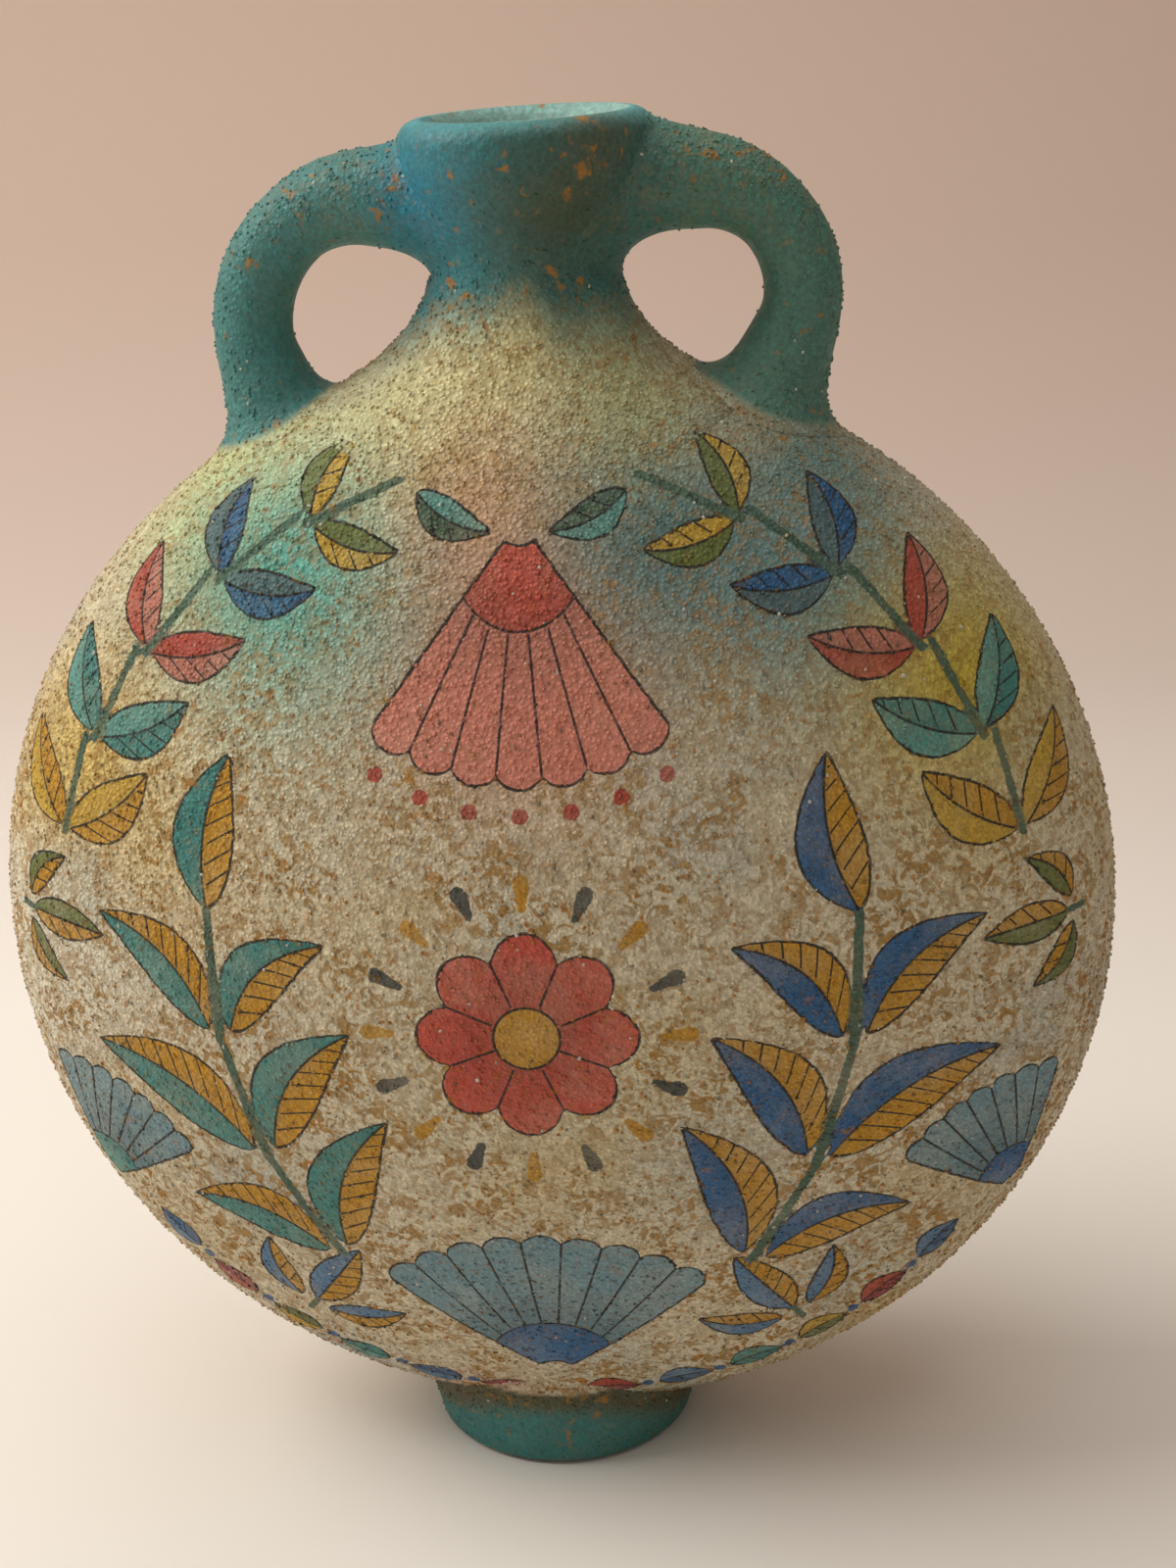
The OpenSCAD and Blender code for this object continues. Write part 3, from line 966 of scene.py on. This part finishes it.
def handle_piece(name, node, side, **sizes):
    """A handle with its slip: sanded on the loop's outer side, and like the body where it runs out there."""
    mesh, outer_side = handle_mesh(name, side, **sizes)
    p = points_of(mesh)
    upper = fade(258, 280, p[:, 2])
    ground = mix(turquoise(p), linear(TURQUOISE["handle"]), 0.45 * fade(22, 34, np.abs(p[:, 0])))
    on_body = fade(1.8, 0.5, body_gap(p))
    grit = np.maximum(0.1 + 0.55 * outer_side, on_body)
    fleck = np.maximum(0.06 + 0.14 * upper, 0.5 * on_body)
    dress(mesh, mix(ground, sprayed(p), on_body), grit, fleck, ochre_spots(p))
    mesh.materials.append(turquoise_slip)
    return stand_in(name, mesh, node)


left_handle = handle_piece(
    "left_handle", "handle_left", -1, bend_at=(30.5, 249.9), bend_r=26.2, arm_turn=86, leg_turn=-14.4,
    rod_r=7.95, arm_end_r=14, leg_end_r=12.5, inner_share=0.16
)
right_handle = handle_piece(
    "right_handle", "handle_right", 1, bend_at=(32.3, 255.7), bend_r=21.5, arm_turn=82.7, leg_turn=-20.9,
    rod_r=7.75, arm_end_r=12.5, leg_end_r=12.8, inner_share=0.04
)

# The foot: a low bowed ring, thrown apart, luted under the body and bevelled where it stands.
# It is turquoise too, with rust-ochre sand settled in the angle under the body, and darkened there as painted
# shade under the body.
foot_r = 31.6
# The ring was set on by eye, a little left of the middle
foot_x = -2
foot_full_z = 14
foot_bow_r = 45
foot_wall = 10
foot_bevel = 1.2
inner_r = foot_r - foot_wall
# Its upper edges are sunk this far in the body, below this level
foot_sink, foot_limit_z = 1.5, 30.0
foot_place = np.array([foot_x, 0, 0])


def foot_side(z):
    """Radius of the foot's outer side at a level."""
    return foot_r - foot_bow_r + np.sqrt(foot_bow_r ** 2 - (z - foot_full_z) ** 2) - grit_room


def up_to_body(r_at):
    """For each direction, the level at which a side of the foot is sunk in the body."""
    low, high = np.zeros(NECK_SEGMENTS), np.full(NECK_SEGMENTS, foot_limit_z)
    for _ in range(30):
        z = (low + high) / 2
        inside = body_gap(ring(r_at(z), z) + foot_place) < -foot_sink
        low, high = np.where(inside, low, z), np.where(inside, z, high)
    return high


outer_top = up_to_body(foot_side)
inner_top = up_to_body(lambda z: np.full_like(z, inner_r))
foot_rings = [ring(inner_r + foot_bevel, 0), ring(foot_side(0) - foot_bevel, 0)]
for share in np.linspace(0, 1, 26):
    z = foot_bevel + (outer_top - foot_bevel) * share
    foot_rings.append(ring(foot_side(z), z))
for share in np.linspace(1, 0, 8):
    z = foot_bevel + (inner_top - foot_bevel) * share
    foot_rings.append(ring(inner_r, z))
foot_mesh = ring_piece("foot", np.array(foot_rings) + foot_place, closed=True)
p = points_of(foot_mesh)
# In front and behind, where the joint climbs, the body's slip laps over it down to this level
lap_z = 19.5
lapped = fade(lap_z - 0.4, lap_z + 0.4, p[:, 2])
from_joint = np.minimum(body_gap(p), lap_z - p[:, 2])
sand_and_shade_under_body = fade(7, 2, from_joint)
foot_ground = mix(turquoise(p), linear("#2f7a72"), 0.6)
# Dark olive-brown near the joint: rust-ochre sand, and painted shade under the body
foot_ground = mix(foot_ground, linear("#5a4c22"), 0.85 * sand_and_shade_under_body)
foot_ground = mix(foot_ground, linear(BARE_CLAY), fade(1.5, 0.4, p[:, 2]))
foot_ground = mix(foot_ground, sprayed(p), lapped)
foot_grit = np.maximum((0.12 + 0.7 * sand_and_shade_under_body) * fade(1.5, 2.5, p[:, 2]), lapped)
dress(foot_mesh, foot_ground, foot_grit, np.maximum(0.1, lapped), 0.3 * sand_and_shade_under_body)
foot_mesh.materials.append(turquoise_slip)
foot = stand_in("foot", foot_mesh, "foot_ring")

# The sand: grains of 0.4 to 1.2 mm stuck all over the body and more thinly on the handles and neck,
# coated with the same slip, so each takes the colour of what it lies on. Fixed by the slip alone.
def sand_tree():
    """Scatters grains on a piece, as dense as its own field says, and gives each a number of its own."""
    tree = bpy.data.node_groups.new("sand_grains", "GeometryNodeTree")
    inputs = {
        "Piece": "Geometry", "Grains per square cm": "Float", "Grain size": "Float", "Seed": "Int",
        "Slip": "Material",
    }
    for name, kind in inputs.items():
        tree.interface.new_socket(name, in_out="INPUT", socket_type="NodeSocket" + kind)
    tree.interface.new_socket("Sand", in_out="OUTPUT", socket_type="NodeSocketGeometry")
    put = partial(add, tree)
    given = put("NodeGroupInput").node.outputs
    per_cm2_in_m2 = 1e4
    density = put("GeometryNodeInputNamedAttribute", {"Name": "grit"}, data_type="FLOAT")
    per_m2 = put(MATH, (given["Grains per square cm"], per_cm2_in_m2), operation="MULTIPLY")
    density = put(MATH, (density, per_m2), operation="MULTIPLY")
    spread = {"Mesh": given["Piece"], "Density": density, "Seed": given["Seed"]}
    points = put("GeometryNodeDistributePointsOnFaces", spread, distribute_method="RANDOM")
    lot = put("FunctionNodeRandomValue", {"Seed": given["Seed"]}, out=1, data_type="FLOAT")
    keep = {"Geometry": points, "Name": "grain", "Value": lot}
    points = put("GeometryNodeStoreNamedAttribute", keep, data_type="FLOAT", domain="POINT")
    # A ball of twenty faces, squashed and turned, is enough for a grain rounded by its coat of slip
    grain = put("GeometryNodeMeshIcoSphere", {"Radius": 0.5, "Subdivisions": 1})
    grain = put("GeometryNodeSetShadeSmooth", {"Geometry": grain, "Shade Smooth": True})
    spin = {0: (0, 0, 0), 1: (math.tau, math.tau, math.tau), "Seed": given["Seed"]}
    turn = put("FunctionNodeRandomValue", spin, data_type="FLOAT_VECTOR")
    shape = {0: (0.6, 0.6, 0.55), 1: (1.2, 1.1, 0.95), "Seed": given["Seed"]}
    shape = put("FunctionNodeRandomValue", shape, data_type="FLOAT_VECTOR")
    scale = put("ShaderNodeVectorMath", {0: shape, "Scale": given["Grain size"]}, operation="SCALE")
    placed = {"Points": points, "Instance": grain, "Rotation": turn, "Scale": scale}
    grains = put("GeometryNodeInstanceOnPoints", placed)
    solid = put("GeometryNodeRealizeInstances", {"Geometry": grains})
    coated = put("GeometryNodeSetMaterial", {"Geometry": solid, "Material": given["Slip"]})
    put("NodeGroupOutput", {"Sand": coated})
    return tree


sand_grains = sand_tree()


def sand_on(name, carrier, per_cm2, size_mm, seed, slip, to_map):
    """A coat of grains on one piece, as a mesh of its own."""
    coat = make_piece(name, carrier.data)
    scatter = coat.modifiers.new("sand", "NODES")
    scatter.node_group = sand_grains
    values = {"Grains per square cm": per_cm2, "Grain size": size_mm * MM, "Seed": seed, "Slip": slip}
    for socket in sand_grains.interface.items_tree:
        if socket.in_out == "INPUT" and socket.name in values:
            scatter[socket.identifier] = values[socket.name]
    mesh = plain_mesh(coat, name)
    coat.modifiers.remove(scatter)
    coat.data = mesh
    to_map(mesh)
    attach(coat, "root")
    return coat


def wrap_map(mesh):
    """A map that wraps a piece about the upright axis."""
    p = points_of(mesh)
    low, high = p[:, 2].min(), p[:, 2].max()
    bake_map(mesh, np.arctan2(p[:, 1], p[:, 0]) / (2 * math.pi) + 0.5, (p[:, 2] - low) / (high - low))


for bowl, face in ((front_bowl, "front"), (back_bowl, "back")):
    sand_on(f"{face}_coarse_sand", bowl, 14, 1.0, 11, sanded_slip, disc_map)
    sand_on(f"{face}_fine_sand", bowl, 15.6, 0.7, 12, sanded_slip, disc_map)
sand_on("left_handle_sand", left_handle, 32, 0.9, 21, turquoise_slip, wrap_map)
sand_on("right_handle_sand", right_handle, 32, 0.9, 21, turquoise_slip, wrap_map)
sand_on("neck_sand", neck, 30, 0.9, 21, sanded_slip, wrap_map)
sand_on("foot_sand", foot, 40, 0.8, 21, turquoise_slip, wrap_map)

# The stage: a pale sheet of paper that runs up behind the flask in one bend. It is matt, near white where the
# flask stands and darker and warmer behind it, the darkening being painted shade where less light reaches the
# back of the sheet.
paper = bpy.data.materials.new("pale_paper")
paper.use_nodes = True
paper.node_tree.nodes.clear()
put = partial(add, paper.node_tree)
place = put("ShaderNodeTexCoord", out="Object")
depth = put("ShaderNodeSeparateXYZ", {"Vector": place}, out="Y")
away = put(RANGE, (depth, 0.2, 0.85))
tint_and_shade = put(MIX, {0: away, 6: rgba("#f6f1ea"), 7: rgba("#cfb8aa")}, out=2, data_type="RGBA")
sheet = put("ShaderNodeBsdfPrincipled", {"Base Color": tint_and_shade, "Roughness": 0.9})
put("ShaderNodeOutputMaterial", {"Surface": sheet})

front_y, back_y, bend, top_z, half_width = -2500, 900, 350, 2200, 2500
profile = [(front_y, 0), (back_y - bend, 0)]
for turn in np.linspace(0, math.pi / 2, 24)[1:]:
    profile.append((back_y - bend + bend * math.sin(turn), bend - bend * math.cos(turn)))
profile.append((back_y, top_z))
points = np.array([(x, y, z) for x in (-half_width, half_width) for y, z in profile], float)
n = len(profile)
floor_mesh = raw_mesh("paper", points, [(k, k + n, k + n + 1, k + 1) for k in range(n - 1)])
floor_mesh.shade_smooth()
floor_mesh.materials.append(paper)
floor = make_piece("paper", floor_mesh)


# The light: a large window at the upper left, a soft ceiling above and a little light from the room in
# front, all a warm white, with a faint warm world about them.
def soft_light(name, at, size, power, colour):
    """A square lamp that faces the flask's middle."""
    lamp = bpy.data.lights.new(name, "AREA")
    lamp.size = size
    lamp.energy = power
    lamp.color = colour
    light = bpy.data.objects.new(name, lamp)
    bpy.context.scene.collection.objects.link(light)
    light.location = at
    light.rotation_euler = (light.location - Vector((0, 0, belly_z * MM))).to_track_quat("Z", "Y").to_euler()


soft_light("window", at=(-0.92, -0.03, 0.92), size=0.8, power=10.8, colour=(1, 0.96, 0.89))
soft_light("ceiling", at=(-0.1, -0.15, 1.8), size=1.8, power=12, colour=(1, 0.96, 0.89))
soft_light("room", at=(-0.5, -1.4, 0.6), size=1.2, power=0.7, colour=(1, 0.95, 0.88))
world = bpy.data.worlds.new("studio")
world.use_nodes = True
surroundings = world.node_tree.nodes["Background"].inputs
surroundings["Color"].default_value = rgba("#f4ece6")
surroundings["Strength"].default_value = 0.22
bpy.context.scene.world = world

# The camera: in front, above the rim and a little to the right, looking down at the flask and slightly
# rolled; its directions to the right and upwards were fitted to the flask's outline.
camera_data = bpy.data.cameras.new("camera")
camera_data.lens = 54
camera_data.sensor_width = 36
camera = bpy.data.objects.new("camera", camera_data)
bpy.context.scene.collection.objects.link(camera)
across, upward = np.array([0.99597, 0.08371, -0.03217]), np.array([0.00171, 0.34090, 0.94010])
view = Matrix((across, upward, np.cross(across, upward))).transposed().to_4x4()
view.translation = (0.05296, -0.4705, 0.32252)
camera.matrix_world = view
bpy.context.scene.camera = camera
bpy.context.scene.view_settings.view_transform = "Standard"
